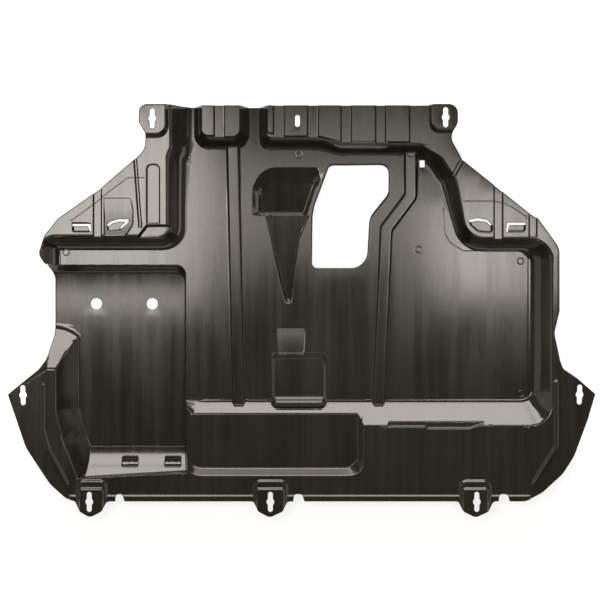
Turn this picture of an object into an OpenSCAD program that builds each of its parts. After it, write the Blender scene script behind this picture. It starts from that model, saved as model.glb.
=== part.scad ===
// Engine splash shield: the moulded plastic tray bolted under a car's engine.
// One injection moulding, one piece, seen and modelled with its engine side up.
// Frame: +X to the right, +Y towards the rear of the engine bay (top of the photo), +Z up.
// The origin is under the middle of the outline and z = 0 is the underside of the deepest pan.

/* [Sheet] */

// thickness of the moulded sheet, mm
sheet_thickness = 3; // [2.5:0.1:3.5]

/* [Levels] */

// rise from the left pan to the main floor, mm
main_floor_rise = 18; // [16:0.5:24]
// rise from the main floor to the access pan, mm
access_rise = 16; // [12:0.5:20]
// rise from the access pan to the flange, mm
flange_rise = 16; // [12:0.5:20]
// rise of the pads along the rear strip above the flange, mm
strip_pad_rise = 5; // [3:0.5:7]
// rise of the five raised fixing pads above the flange, mm
fixing_pad_rise = 8; // [6:0.5:10]
// rise of the two long ribs above the main floor, mm
rib_rise = 6; // [4:0.5:9]
// rise of the box in front of the duct above the main floor, mm
box_rise = 7; // [4:0.5:9]
// rise of the rounded bar at the front end of that box above the main floor, mm
bar_rise = 14; // [12:0.5:16]
// rise of the two wing beads above the flange, mm
bead_rise = 3; // [2:0.5:5]
// depth of the grooves in both ears, mm
groove_drop = 4; // [2:0.5:5]
// rise of the lip along the front edge above the flange, mm
hem_rise = 2.5; // [2:0.5:5]
// rise of the step under each front fixing pad above the flange, mm
tab_step_rise = 4; // [3:0.5:5]
// depth of the duct's deep end below the main floor, mm
duct_drop = 16; // [13:0.5:16.5]
// depth of the duct's ledge below the main floor, mm
duct_ledge_drop = 7; // [5:0.5:8]
// depth of the duct's funnel at its tip, mm
funnel_drop = 7; // [5:0.5:9]
// depth of the two drain recesses in the left pan's front slope, mm
drain_drop = 9; // [6:0.5:10]
// drop of each louvre tongue below the ear, mm
tongue_drop = 6; // [4:0.5:8]

/* [Outline] */

// distance from the middle of the frame to the rear edge, mm
rear_edge = 347; // [342:1:355]
// distance from the middle of the frame to the front edge between the tabs, mm
front_edge = 328; // [324:1:334]
// reach of the three front tabs beyond the front edge, mm
tab_reach = 25; // [22:0.5:30]
// reach of the wing tips to each side, mm
wing_reach = 500; // [492:1:510]
// x of the tray's right side behind the wing, mm
right_side = 441; // [439:1:446]
// x of the tray's left side behind the wing, mm
left_side = -426; // [-430:1:-424]
// depth of the three half-round notches in the front edge, mm
notch_depth = 12; // [9:0.5:14]

/* [Fixing holes] */

// width of each keyhole's slot, mm
keyhole_slot = 8.5; // [7:0.5:10]
// length of each keyhole's slot, mm
keyhole_length = 34; // [28:0.5:36]
// diameter of the round part of each keyhole, mm
keyhole_round = 13; // [11.5:0.5:15]
// diameter of the two round holes in the left pan, mm
round_hole = 20; // [16:0.5:24]
// pitch of the two round holes, mm
round_hole_pitch = 97; // [80:1:105]
// distance in Y from the middle of the frame to the round holes, mm
round_hole_y = 9; // [-10:1:20]
// width of the oval hole in the rear strip, mm
oval_width = 8; // [6:0.5:10]
// length of the oval hole in the rear strip, mm
oval_length = 20; // [16:0.5:24]
// sides of the small rectangular hole, mm
small_hole = [8.5, 12];

/* [Long features] */

// width of the two long ribs over their top, mm
rib_width = 17; // [12:0.5:20]
// width of the wing beads over their top, mm
bead_width = 4; // [3:0.5:6]
// length of the access pan, mm
access_length = 94; // [88:1:97]

/* [Hidden] */

pan_level = sheet_thickness;
floor_level = pan_level + main_floor_rise;
access_level = floor_level + access_rise;
flange_level = access_level + flange_rise;
strip_pad_level = flange_level + strip_pad_rise;
fixing_pad_level = flange_level + fixing_pad_rise;
hem_level = flange_level + hem_rise;
tab_step_level = flange_level + tab_step_rise;
top_level = max(strip_pad_level, fixing_pad_level) + 5;

// Past the outline on every side, where the relief is left open and the outline cuts it.
beyond = 560;
// How far a cut reaches past the face it cuts.
clear = 1;
hole_faces = 48;
// Flat steps in each rounded corner: of the relief, of small forms and of the outline.
arc_steps = 3;
small_steps = 2;
outline_steps = 5;

// Front wall: its foot on the main floor and its top at the access pan and at the flange.
wall_foot_y = -160;
wall_slope = 38 / 32;
wall_access_y = wall_foot_y - wall_slope * access_rise;
wall_top_y = wall_foot_y - wall_slope * (access_rise + flange_rise);

keyhole_places = [
    [-253, 324, 0], [246, 326, 0],
    [-360, -328, 0], [-52, -328, 0], [299, -328, 0],
    [-wing_reach + 26, -147, 2], [wing_reach - 25, -146, -2]
];
round_hole_places = [for (side = [-1, 1]) [-306.5 + side * round_hole_pitch / 2, round_hole_y]];
oval_place = [-6, 320];
small_hole_place = [209, 250];

// Plain geometry of the rings that every part of the relief is made from.

function unit(v) = v / norm(v);
function cross2(a, b) = a[0] * b[1] - a[1] * b[0];
function flat(p) = [p[0], p[1]];
function at(list, i) = list[(i + len(list)) % len(list)];

// The points of one corner [x, y, radius]; a corner with no radius is one point.
function corner_points(before, corner, after, steps) =
    corner[2] == 0 ? [flat(corner)] :
    let (
        p = flat(corner),
        u = unit(flat(before) - p),
        v = unit(flat(after) - p),
        half = acos(max(-1, min(1, u * v))) / 2,
        reach = min(corner[2] / tan(half),
            0.48 * min(norm(flat(before) - p), norm(flat(after) - p))),
        radius = reach * tan(half),
        centre = p + unit(u + v) * radius / sin(half),
        from = p + u * reach - centre,
        turn = sign(cross2(-u, v)) * (180 - 2 * half)
    )
    [for (i = [0:steps]) let (a = turn * i / steps)
        centre + [from[0] * cos(a) - from[1] * sin(a), from[0] * sin(a) + from[1] * cos(a)]];

function rounded(ring, steps = arc_steps) =
    [for (i = [0:len(ring) - 1]) each corner_points(at(ring, i - 1), ring[i], at(ring, i + 1), steps)];

// An anticlockwise ring moved outwards by a distance, or inwards by a negative one.
function grown(ring, distance) =
    [for (i = [0:len(ring) - 1])
        let (
            along_in = unit(flat(ring[i]) - flat(at(ring, i - 1))),
            along_out = unit(flat(at(ring, i + 1)) - flat(ring[i])),
            n_in = [along_in[1], -along_in[0]],
            n_out = [along_out[1], -along_out[0]],
            moved = flat(ring[i]) + (n_in + n_out) * distance / (1 + n_in * n_out),
            outer = cross2(along_in, along_out) > 0 ? 1 : -1
        )
        [moved[0], moved[1], ring[i][2] == 0 ? 0 : max(0.6, ring[i][2] + outer * distance)]];

// A band of constant width along a line of points, as a ring; the left of the line comes last.
function band(line, width) =
    concat(side_of(line, width / 2), [for (i = [len(line) - 1:-1:0]) side_of(line, -width / 2)[i]]);

function side_of(line, distance) =
    [for (i = [0:len(line) - 1])
        let (
            d_in = i == 0 ? undef : unit(flat(line[i]) - flat(line[i - 1])),
            d_out = i == len(line) - 1 ? undef : unit(flat(line[i + 1]) - flat(line[i])),
            a = is_undef(d_in) ? d_out : d_in,
            b = is_undef(d_out) ? d_in : d_out,
            n_a = [a[1], -a[0]],
            n_b = [b[1], -b[0]],
            p = flat(line[i]) + (n_a + n_b) * distance / (1 + n_a * n_b)
        )
        [p[0], p[1], line[i][2]]];

// How far a wall moves sideways when its surface is set back by the sheet thickness.
function set_back(run, rise) = (sqrt(run * run + rise * rise) - run) / rise;

// A solid through rings at given heights; each height is [z] or [z, rise per mm of y].
module loft(rings, heights, steps = arc_steps) {
    sheets = [for (i = [0:len(rings) - 1])
        [for (p = rounded(rings[i], steps))
            [p[0], p[1], heights[i][0] + (len(heights[i]) > 1 ? heights[i][1] * p[1] : 0)]]];
    n = len(sheets[0]);
    last = len(sheets) - 1;
    polyhedron(
        points = [for (sheet = sheets) each sheet],
        faces = concat(
            [[for (i = [0:n - 1]) i]],
            [[for (i = [n - 1:-1:0]) last * n + i]],
            [for (k = [0:last - 1], i = [0:n - 1])
                [k * n + i, (k + 1) * n + (i + 1) % n, k * n + (i + 1) % n]],
            [for (k = [0:last - 1], i = [0:n - 1])
                [k * n + i, (k + 1) * n + i, (k + 1) * n + (i + 1) % n]]
        ),
        convexity = 6
    );
}

// A pocket with sloping sides. Its low ring lies on the pocket's floor.
module pocket(low, high, low_z, high_z, drop, back = 0.6, steps = arc_steps) {
    rise = high_z - low_z;
    over = [for (i = [0:len(low) - 1])
        let (step = (flat(high[i]) - flat(low[i])) * (clear + drop) / rise)
        [high[i][0] + step[0], high[i][1] + step[1], high[i][2]]];
    loft(
        [grown(low, drop * back), grown(over, drop * back)],
        [[low_z - drop], [high_z + clear]],
        steps
    );
}

// A raised form with sloping sides. Its low ring lies on the surface it stands on.
module raised(low, high, low_z, high_z, drop, back = 0.6, steps = arc_steps) {
    rise = high_z - low_z;
    under = [for (i = [0:len(low) - 1])
        let (step = (flat(low[i]) - flat(high[i])) * clear / rise)
        [low[i][0] + step[0], low[i][1] + step[1], low[i][2]]];
    loft(
        [grown(under, -drop * back), grown(high, -drop * back)],
        [[low_z - drop - clear], [high_z - drop]],
        steps
    );
}

function box_ring(x0, x1, y0, y1, r0, r1) =
    [[x0, y1, r1], [x0, y0, r0], [x1, y0, r0], [x1, y1, r1]];

// Outline of the whole moulding, anticlockwise from the left wing tip.
function tab_outline(x, half_width, lean) = [
    [x - half_width, -front_edge, 6],
    [x - half_width + 8, -front_edge - 0.66 * tab_reach, 10],
    [x + lean, -front_edge - tab_reach - 2, 12],
    [x + half_width - 8, -front_edge - 0.66 * tab_reach, 10],
    [x + half_width, -front_edge, 8]
];

function notch_outline(x, width) = [
    [x - width / 2, -front_edge, 0],
    [x - width / 2 + 1, -front_edge + notch_depth, 5],
    [x + width / 2 - 3, -front_edge + notch_depth, 5],
    [x + width / 2 + 1, -front_edge, 0]
];

outline = concat(
    [[-wing_reach, -146, 3], [-469, -237, 70], [-428, -299, 70], [-401, -323, 20]],
    tab_outline(-358, 27, -1),
    notch_outline(-309, 15),
    tab_outline(-52, 29, -1),
    notch_outline(-4, 18),
    tab_outline(298, 30, -1),
    notch_outline(346, 18),
    [
        [384, -front_edge, 30], [412, -313, 30], [447, -281, 60], [466, -251, 60],
        [489, -189, 0], [wing_reach + 2, -145, 3],
        [471, -118, 0], [447, -102, 12], [right_side + 1, -88, 12], [432, -41, 30], [right_side, -4, 14],
        [right_side, 104, 30], [405, 154, 12], [390, 163, 6],
        [276, 254, 16], [254, 294, 40], [267, 316, 20], [267, rear_edge + 2, 18],
        [228, rear_edge + 2, 6], [216, rear_edge, 6], [-179, rear_edge, 20], [-222, rear_edge + 2, 10],
        [-276, rear_edge + 2, 20], [-276, 318, 14], [-265, 299, 8], [-266, 271, 30],
        [-345, 203, 60], [-415, 154, 40], [-438, 125, 30], [-448, 94, 16],
        [left_side, 56, 24], [left_side, -44, 40], [-436, -86, 30], [-448, -103, 20]
    ]
);

outline_points = rounded(outline, outline_steps);

// Middle of the outline's box, which becomes the frame's origin.
middle = [for (axis = [0, 1])
    (max([for (p = outline_points) p[axis]]) + min([for (p = outline_points) p[axis]])) / 2];

// Main floor, bounded by the stepped walls under both ears and by the front wall.
module main_floor(drop) {
    left_foot = -422;
    pan_edge = -204;
    low = [
        [-200, beyond, 0], [-200, 266, 14], [-206, 252, 14], [-206, 108, 34],
        [left_foot, 108, 8], [left_foot, 40, 0], [pan_edge, 40, 0], [pan_edge, wall_foot_y, 0],
        [401, wall_foot_y, 24], [401, 105, 24],
        [278, 105, 46], [246, 220, 50], [224, 251, 24], [201, 266, 6], [201, beyond, 0]
    ];
    high = [
        [-222, beyond, 0], [-222, 276, 14], [-228, 262, 14], [-228, 125, 16],
        [left_foot - 22, 125, 24], [left_foot - 20, 40, 0], [pan_edge, 40, 0], [pan_edge, wall_top_y, 0],
        [429, wall_top_y, 38], [429, 121, 42],
        [284, 121, 34], [266, 218, 50], [240, 258, 30], [201, 282, 6], [201, beyond, 0]
    ];
    pocket(low, high, floor_level, flange_level, drop, set_back(24, 32));
}

// Left pan: the deepest one, with a long curved slope up to the front flange
// and a slanting wall beside the wheel.
pan_slope_start = -165;
pan_slope_end = -284;
pan_slope_shares = [0, 0.03, 0.12, 0.3, 0.58, 1];

// y at which the curved front slope has risen by a share of the pan's full height.
function pan_slope_y(share) =
    pan_slope_start + (pan_slope_end - pan_slope_start) * pow(share, 1 / 2.6);

wheel_wall_width = 34;

// x of the top edge of the wheel wall at a given y.
function wheel_wall_x(y) = lookup(y, [[-284, -383], [-220, -408], [-172, -419], [-106, -418]]);

function pan_ring(share) =
    let (
        under = 1 - share,
        front_y = pan_slope_y(share),
        back_y = 51 + 24 * min(1, share * (flange_level - pan_level) / main_floor_rise),
        inward = wheel_wall_width * under,
        y_c = max(-172, front_y + 40),
        y_d = max(-220, front_y + 18)
    )
    [
        [-beyond, back_y, 0], [-beyond, -223 + 190 * under, 0],
        [-433 + 38 * under, -101 + 68 * under, 6 + 22 * under], [-417 + 38 * under, -112 + 60 * under, 6 + 22 * under],
        [wheel_wall_x(y_c) + inward, y_c, 20], [wheel_wall_x(y_d) + inward, y_d, 8],
        [wheel_wall_x(front_y) + inward + 2, front_y, 6],
        [-201 + 7 * share, front_y + 4, 6], [-201 + 7 * share, back_y, 18]
    ];

module left_pan(drop) {
    height = flange_level - pan_level;
    rings = [for (s = pan_slope_shares) grown(pan_ring(s), drop * 0.6)];
    loft(
        concat(rings, [rings[len(rings) - 1]]),
        concat([for (s = pan_slope_shares) [pan_level + s * height - drop]], [[flange_level + clear]])
    );
}

// Access pan in the front flange, open to the main floor on its rear side.
// Its left side ends at the edge of the left pan.
module access_pan(drop) {
    front_y = wall_access_y - access_length;
    low = [[-198, -140, 0], [-198, front_y, 30], [97, front_y, 22], [97, -140, 0]];
    high = [[-203, -140, 0], [-203, front_y - 11, 34], [107, front_y - 11, 26], [107, -140, 0]];
    pocket(low, high, access_level, flange_level, drop, set_back(8, 16));
}

// Shallow clip recess along the top of the front wall.
module clip_recess(drop) {
    low = [
        [150, wall_top_y + 12, 0], [150, wall_top_y - 1, 0], [213, wall_top_y - 1, 0],
        [217, wall_top_y - 4, 0], [286, wall_top_y - 4, 0], [312, wall_top_y + 4, 0], [312, wall_top_y + 12, 0]
    ];
    pocket(low, grown(low, 2.5), flange_level - 5, flange_level, drop);
}

// Lip along the front edge, raised between the tabs.
module hem(drop) {
    low = box_ring(-396, 392, -beyond, -317, 0, 0);
    high = box_ring(-394, 390, -beyond, -319, 0, 0);
    raised(low, high, flange_level, hem_level, drop, 0.6, small_steps);
}

// Blocks that carry the strip along the rear edge. The gap between them is the main floor.
module strip_blocks(drop) {
    back = set_back(14, 32);
    raised(
        [[-182, beyond, 0], [-182, 277, 24], [-91, 277, 24], [-91, beyond, 0]],
        [[-171, beyond, 0], [-171, 290, 18], [-101, 290, 18], [-101, beyond, 0]],
        floor_level, flange_level, drop, back
    );
    raised(
        [[-70, beyond, 0], [-70, 276, 16], [30, 276, 10], [66, 267, 10], [215, 267, 0], [215, beyond, 0]],
        [[-60, beyond, 0], [-60, 289, 12], [32, 289, 10], [66, 280, 10], [215, 280, 0], [215, beyond, 0]],
        floor_level, flange_level, drop, back
    );
}

// Raised pads along the rear strip, parted by grooves: left x, right x, front y at each side.
strip_pads = [
    [-170, -147, 294, 294, 14, 0], [-131, -103, 292, 292, 0, 14], [-58, -46, 298, 298, 8, 0],
    [-29, 12, 293, 293, 0, 0], [29, 69, 293, 283, 0, 0], [85, 128, 283, 283, 0, 0], [143, 186, 283, 283, 0, 0]
];

module strip_pads(drop) {
    for (pad = strip_pads) {
        raised(
            [[pad[0], beyond, 0], [pad[0], pad[2], pad[4]], [pad[1], pad[3], pad[5]], [pad[1], beyond, 0]],
            [
                [pad[0] + 1.5, beyond, 0], [pad[0] + 1.5, pad[2] + 2, pad[4]],
                [pad[1] - 1.5, pad[3] + 2, pad[5]], [pad[1] - 1.5, beyond, 0]
            ],
            flange_level, strip_pad_level, drop, 0.8, small_steps
        );
    }
}

// The five raised fixing pads: two in the rear corners and three over the front tabs.
module fixing_pads(drop) {
    raised(
        [[-beyond, beyond, 0], [-beyond, 292, 0], [-226, 292, 20], [-226, beyond, 0]],
        [[-beyond, beyond, 0], [-beyond, 299, 0], [-231, 299, 16], [-231, beyond, 0]],
        flange_level, fixing_pad_level, drop, 0.5, small_steps
    );
    raised(
        [[218, beyond, 0], [218, 299, 20], [beyond, 299, 0], [beyond, beyond, 0]],
        [[222, beyond, 0], [222, 306, 16], [beyond, 306, 0], [beyond, beyond, 0]],
        flange_level, fixing_pad_level, drop, 0.5, small_steps
    );
    for (tab = [[-357, 27], [-52, 30], [297, 28]]) {
        step = box_ring(tab[0] - tab[1], tab[0] + tab[1], -beyond, -291, 0, 14);
        raised(step, grown(step, -3), flange_level, tab_step_level, drop, 0.5, small_steps);
        pad = box_ring(tab[0] - tab[1] + 5, tab[0] + tab[1] - 5, -beyond, -304, 0, 6);
        raised(pad, grown(pad, -3), tab_step_level, fixing_pad_level, drop, 0.5, small_steps);
    }
}

// The two long ribs that run from the rear strip towards the front wall.
module ribs(drop) {
    side = 2.5;
    left = [[-118, 310, 0], [-107, -171, 8]];
    right = [[189, 310, 0], [189, 194, 14], [147, 138, 14], [144, 67, 20], [133, -171, 8]];
    for (line = [left, right]) {
        low = band(line, rib_width + 2 * side);
        high = band(line, rib_width);
        raised(low, high, floor_level, floor_level + rib_rise, drop, set_back(side, rib_rise), small_steps);
    }
}

// Low box on the main floor in front of the duct; it runs into the front wall.
module floor_box(drop) {
    raised(
        [[-50, -75, 8], [-50, -176, 8], [44, -176, 8], [44, -75, 8]],
        [[-45, -85, 6], [-45, -170, 6], [39, -170, 6], [39, -85, 6]],
        floor_level, floor_level + box_rise, drop, 0.6, small_steps
    );
    bar = box_ring(-51, 44, -174, -152, 9, 9);
    raised(bar, grown(bar, -7), floor_level, floor_level + bar_rise, drop, 0.6, small_steps);
}

// Duct: a curved scoop sunk in two steps beside the access opening, and a funnel in front of its sill.
module duct(drop) {
    lip = [[-84, 158, 8], [-62, 160, 0], [9, 160, 0], [12, 166, 4], [37, 246, 9], [-84, 246, 58]];
    ledge = [[-75, 163, 5], [-62, 165, 0], [3, 165, 0], [6, 170, 4], [26, 227, 6], [-75, 227, 46]];
    deep = [[-66, 168, 4], [-60, 169, 0], [-2, 169, 0], [1, 173, 3], [15, 209, 5], [-66, 209, 36]];
    ledge_level = floor_level - duct_ledge_drop;
    pocket(ledge, lip, ledge_level, floor_level, drop);
    // The deep end's floor falls towards the sill.
    fall = 5 / 40;
    mouth = [for (i = [0:len(deep) - 1])
        let (step = (flat(ledge[i]) - flat(deep[i])) * (1 + (clear + drop) / (duct_drop - duct_ledge_drop)))
        [deep[i][0] + step[0], deep[i][1] + step[1], ledge[i][2]]];
    loft(
        [grown(deep, drop * 0.6), grown(mouth, drop * 0.6)],
        [[floor_level - duct_drop - drop - 169 * fall, fall], [ledge_level + clear]]
    );
    funnel(drop);
}

// Funnel: narrow, with a floor that falls a little from the duct's sill to the tip.
funnel_ends = [10, 160];
funnel_shallow = 4;

module funnel(drop) {
    top = [
        [-61, 160, 0], [-49, 106, 0], [-37, 50, 0], [-26, 10, 3],
        [-17, 10, 3], [-12, 58, 0], [-2, 120, 0], [14, 160, 0]
    ];
    foot = [
        [-57, 160, 0], [-44.5, 106, 0], [-33, 50, 0], [-24, 17, 1],
        [-19, 17, 1], [-15.5, 58, 0], [-6, 120, 0], [9.5, 160, 0]
    ];
    tilt = (funnel_drop - funnel_shallow) / (funnel_ends[1] - funnel_ends[0]);
    over = [for (i = [0:len(top) - 1]) let (p = flat(top[i]) + (flat(top[i]) - flat(foot[i])) * 0.2)
        [p[0], p[1], top[i][2]]];
    loft(
        [grown(foot, drop * 0.5), grown(over, drop * 0.5)],
        [[floor_level - drop - funnel_drop - funnel_ends[0] * tilt, tilt], [floor_level + clear]],
        small_steps
    );
}

// Grooves and steps pressed into the two ears.
module ear_grooves(drop) {
    grooves = [
        // line along the middle, width of the groove's floor
        [[[-347, 230, 0], [-347, 112, 0]], 12],
        [[[-283, 262, 0], [-274, 140, 0]], 3],
        [[[-252, 246, 8], [-252, 147, 0]], 20],
        [[[277, 258, 0], [261, 229, 0]], 4],
        [[[337, 230, 0], [337, 108, 0]], 13],
        [[[396, 190, 0], [396, 124, 0]], 11]
    ];
    for (g = grooves) {
        low = band(g[0], g[1]);
        pocket(low, grown(low, 1.5), flange_level - groove_drop, flange_level, drop, 0.6, small_steps);
    }
}

// Step at the foot of the left ear, between the finger groove and the wall below it.
module ear_step(drop) {
    low = [[-262, 141, 0], [-277, 122, 0], [-277, 90, 0], [-215, 90, 0], [-215, 141, 0]];
    pocket(low, grown(low, 2.5), flange_level - 8, flange_level, drop, 0.6);
}

// Louvres: each is a tongue pressed down, parted from the ear by a narrow cut.
// The outer two are square with a cut along the rear and one side, the inner two are arched.
louvres = [
    // floor of the tongue, then the cut
    [
        [[-388, 144, 0], [-388, 133, 2], [-361, 133, 2], [-361, 144, 0]],
        [[-390, 145, 0], [-390, 141.5, 0], [-364, 141.5, 2], [-361, 134, 0], [-358, 131, 0], [-358, 145, 3]]
    ],
    [
        [[353, 144, 0], [353, 134, 2], [381, 134, 4], [381, 144, 0]],
        [[351, 147, 3], [350, 131, 0], [353, 131, 0], [356, 143.5, 2], [383, 143.5, 0], [383, 147, 0]]
    ],
    [
        [[-328, 133, 4], [-309, 136, 6], [-296, 149, 0], [-311, 150, 8], [-330, 142, 4]],
        [
            [-331, 144, 0], [-329, 141, 0], [-322, 146, 0], [-310, 149.5, 10], [-300, 148.5, 0],
            [-310, 139, 0], [-307, 137, 0], [-294, 148, 0], [-294, 153, 0], [-310, 153.5, 14], [-325, 149, 8]
        ]
    ],
    [
        [[303, 134, 8], [325, 132, 4], [325, 141, 3], [316, 150, 10], [300, 152, 12], [287, 147, 4]],
        [[284, 151, 0], [289, 148, 0], [300, 150.5, 12], [316, 149, 8], [323, 143, 0], [326, 143.5, 0],
            [318, 152, 10], [300, 155, 14]]
    ]
];

module louvre_tongues(drop) {
    for (louvre = louvres) {
        low = louvre[0];
        pocket(low, grown(low, 2), flange_level - tongue_drop, flange_level, drop, 0.5, small_steps);
    }
}

module louvre_gaps() {
    for (louvre = louvres) {
        linear_extrude(top_level) {
            polygon(rounded(louvre[1], small_steps));
        }
    }
}

// Two drain recesses in the front slope of the left pan.
module drains(drop) {
    floor_z = (pan_level + flange_level) / 2 - drain_drop;
    for (x = [-295, -221]) {
        low = box_ring(x - 14, x + 14, -272, -254, 3, 3);
        loft(
            [grown(low, drop * 0.6), grown(low, 2 + drop * 0.6)],
            [[floor_z - drop], [flange_level]],
            small_steps
        );
    }
}

// Beads along both wings.
module wing_beads(drop) {
    left = [[-440, -128, 2], [-440, -206, 20], [-431, -238, 10], [-397, -302, 3]];
    right = [[435, -124, 2], [435, -236, 14], [395, -301, 3]];
    for (line = [left, right]) {
        raised(
            band(line, bead_width + 4), band(line, bead_width),
            flange_level, flange_level + bead_rise, drop, 0.6, small_steps
        );
    }
}

// Everything under the moulding's upper face, or under its lower face when dropped by the thickness.
module relief(drop) {
    difference() {
        union() {
            difference() {
                translate([-beyond, -beyond, -60]) {
                    cube([2 * beyond, 2 * beyond, 60 + flange_level - drop]);
                }
                main_floor(drop);
                left_pan(drop);
                access_pan(drop);
                clip_recess(drop);
                ear_step(drop);
            }
            strip_blocks(drop);
            strip_pads(drop);
            hem(drop);
            fixing_pads(drop);
            ribs(drop);
            floor_box(drop);
            wing_beads(drop);
        }
        duct(drop);
        ear_grooves(drop);
        louvre_tongues(drop);
        drains(drop);
    }
}

module formed_sheet() {
    difference() {
        intersection() {
            relief(0);
            translate([0, 0, -clear]) {
                linear_extrude(top_level) {
                    polygon(outline_points);
                }
            }
        }
        relief(sheet_thickness);
        louvre_gaps();
        access_opening();
    }
}

// The large opening through the main floor beside the duct.
access_hole = [
    [49, 247, 10], [23, 177, 20], [20, 159, 30], [19, 71, 8],
    [113, 71, 28], [118, 158, 34], [151, 199, 22], [151, 248, 14]
];

module access_opening() {
    translate([0, 0, -2 * clear]) {
        linear_extrude(top_level) {
            polygon(rounded(access_hole));
        }
    }
}

module keyhole() {
    half = (keyhole_length - keyhole_slot) / 2;
    translate([0, 0, -clear]) {
        cylinder(d = keyhole_round, h = top_level + 2 * clear, $fn = hole_faces);
        for (side = [-1, 1]) {
            translate([0, side * half, 0]) {
                cylinder(d = keyhole_slot, h = top_level + 2 * clear, $fn = hole_faces);
            }
        }
        translate([-keyhole_slot / 2, -half, 0]) {
            cube([keyhole_slot, 2 * half, top_level + 2 * clear]);
        }
    }
}

module oval_hole() {
    half = (oval_length - oval_width) / 2;
    translate([0, 0, -clear]) {
        for (side = [-1, 1]) {
            translate([0, side * half, 0]) {
                cylinder(d = oval_width, h = top_level + 2 * clear, $fn = hole_faces);
            }
        }
        translate([-oval_width / 2, -half, 0]) {
            cube([oval_width, 2 * half, top_level + 2 * clear]);
        }
    }
}

module fixing_holes() {
    for (place = keyhole_places) {
        translate([place[0], place[1], 0]) {
            rotate([0, 0, place[2]]) {
                keyhole();
            }
        }
    }
    for (place = round_hole_places) {
        translate([place[0], place[1], -clear]) {
            cylinder(d = round_hole, h = top_level, $fn = hole_faces);
        }
    }
    translate(oval_place) {
        oval_hole();
    }
    translate([small_hole_place[0] - small_hole[0] / 2, small_hole_place[1] - small_hole[1] / 2, -clear]) {
        cube([small_hole[0], small_hole[1], top_level]);
    }
}

module splash_shield() {
    color([0.16, 0.15, 0.14]) {
        translate([-middle[0], -middle[1], 0]) {
            difference() {
                // With no new size asked for, this keeps the size and joins the folded sheet into one mesh.
                resize([0, 0, 0]) {
                    formed_sheet();
                }
                fixing_holes();
            }
        }
    }
}

splash_shield();
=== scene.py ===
"""Engine splash shield: one black plastic moulding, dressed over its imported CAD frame.

The real object is one injection-moulded sheet, so this script makes one piece. The sheet's
upper face is a relief: pans, ribs, pads and grooves are folds, each with the same rings and
levels as in the part's source, and here each fold also has the rounded foot and shoulder of
a moulding. The plan is cut into triangles along those folds and lifted to the relief.
The lower face is the same relief set back by the sheet's thickness.

All sizes are in millimetres in the shield's own plan until the mesh is made.
"""

from __future__ import annotations

import logging
import math
from dataclasses import dataclass, field
from enum import Enum
from typing import Callable

import bmesh
import bpy
import numpy as np
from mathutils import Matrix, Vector
from mathutils.geometry import delaunay_2d_cdt

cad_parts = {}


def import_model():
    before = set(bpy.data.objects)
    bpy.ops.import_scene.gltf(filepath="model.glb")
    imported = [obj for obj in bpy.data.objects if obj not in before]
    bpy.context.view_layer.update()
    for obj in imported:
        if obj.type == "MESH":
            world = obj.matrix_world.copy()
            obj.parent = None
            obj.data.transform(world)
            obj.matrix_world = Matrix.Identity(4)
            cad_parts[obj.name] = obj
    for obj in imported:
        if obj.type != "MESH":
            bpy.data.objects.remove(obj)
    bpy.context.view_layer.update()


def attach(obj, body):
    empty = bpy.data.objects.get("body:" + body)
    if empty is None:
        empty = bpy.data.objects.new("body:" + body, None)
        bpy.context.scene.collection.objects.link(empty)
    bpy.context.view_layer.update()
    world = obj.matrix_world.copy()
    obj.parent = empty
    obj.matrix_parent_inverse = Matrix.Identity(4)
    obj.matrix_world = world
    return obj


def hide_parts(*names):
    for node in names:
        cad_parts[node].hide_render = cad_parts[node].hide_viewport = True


logging.basicConfig(level=logging.INFO, format="%(message)s")
LOG = logging.getLogger("splash_shield")

METRES = 0.001
NODE = "splash_shield"

Corner = tuple[float, float, float]
Ring = list[Corner]
Surface = Callable[[np.ndarray], np.ndarray]


class Kind(Enum):
    """Which way a fold leaves the surface it starts from."""

    POCKET = "pocket"
    RAISED = "raised"


@dataclass(frozen=True)
class Levels:
    """Heights of the sheet's upper face above the underside of the deepest pan."""

    thickness: float = 3.0
    pan: float = 3.0
    floor: float = 21.0
    access: float = 37.0
    flange: float = 53.0
    hem: float = 55.5
    tab_step: float = 57.0
    strip_pad: float = 58.0
    fixing_pad: float = 61.0


LEVELS = Levels()

# Where the relief is left open past the outline on every side.
BEYOND = 560.0
# The front wall: its foot on the main floor and its tops at the two levels in front of it.
WALL_FOOT_Y = -160.0
WALL_SLOPE = 38 / 32
WALL_ACCESS_Y = WALL_FOOT_Y - WALL_SLOPE * (LEVELS.access - LEVELS.floor)
WALL_TOP_Y = WALL_FOOT_Y - WALL_SLOPE * (LEVELS.flange - LEVELS.floor)
FRONT_EDGE = 328.0
REAR_EDGE = 347.0


def flat(corner: Corner) -> np.ndarray:
    """Return a corner's place in plan."""
    return np.array(corner[:2], dtype=float)


def unit(v: np.ndarray) -> np.ndarray:
    """Return a vector of length one along v."""
    return v / np.hypot(*v)


def corner_arc(before: Corner, corner: Corner, after: Corner, steps: int) -> list[np.ndarray]:
    """Round one corner of a ring.

    Args:
        before: The corner before it.
        corner: The corner, with its radius last.
        after: The corner after it.
        steps: Flat steps in the arc, or 0 for a sharp corner.

    Returns:
        The points that take the corner's place.
    """
    p = flat(corner)
    if steps == 0:
        return [p]
    u, v = unit(flat(before) - p), unit(flat(after) - p)
    half = math.acos(max(-1.0, min(1.0, float(u @ v)))) / 2
    longest = 0.48 * min(np.hypot(*(flat(before) - p)), np.hypot(*(flat(after) - p)))
    reach = min(max(corner[2], 0.3) / math.tan(half), longest)
    radius = reach * math.tan(half)
    centre = p + unit(u + v) * radius / math.sin(half)
    start = p + u * reach - centre
    turn = math.copysign(math.pi - 2 * half, -u[0] * v[1] + u[1] * v[0])
    points = []
    for i in range(steps + 1):
        a = turn * i / steps
        points.append(centre + np.array([
            start[0] * math.cos(a) - start[1] * math.sin(a),
            start[0] * math.sin(a) + start[1] * math.cos(a),
        ]))
    return points


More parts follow.
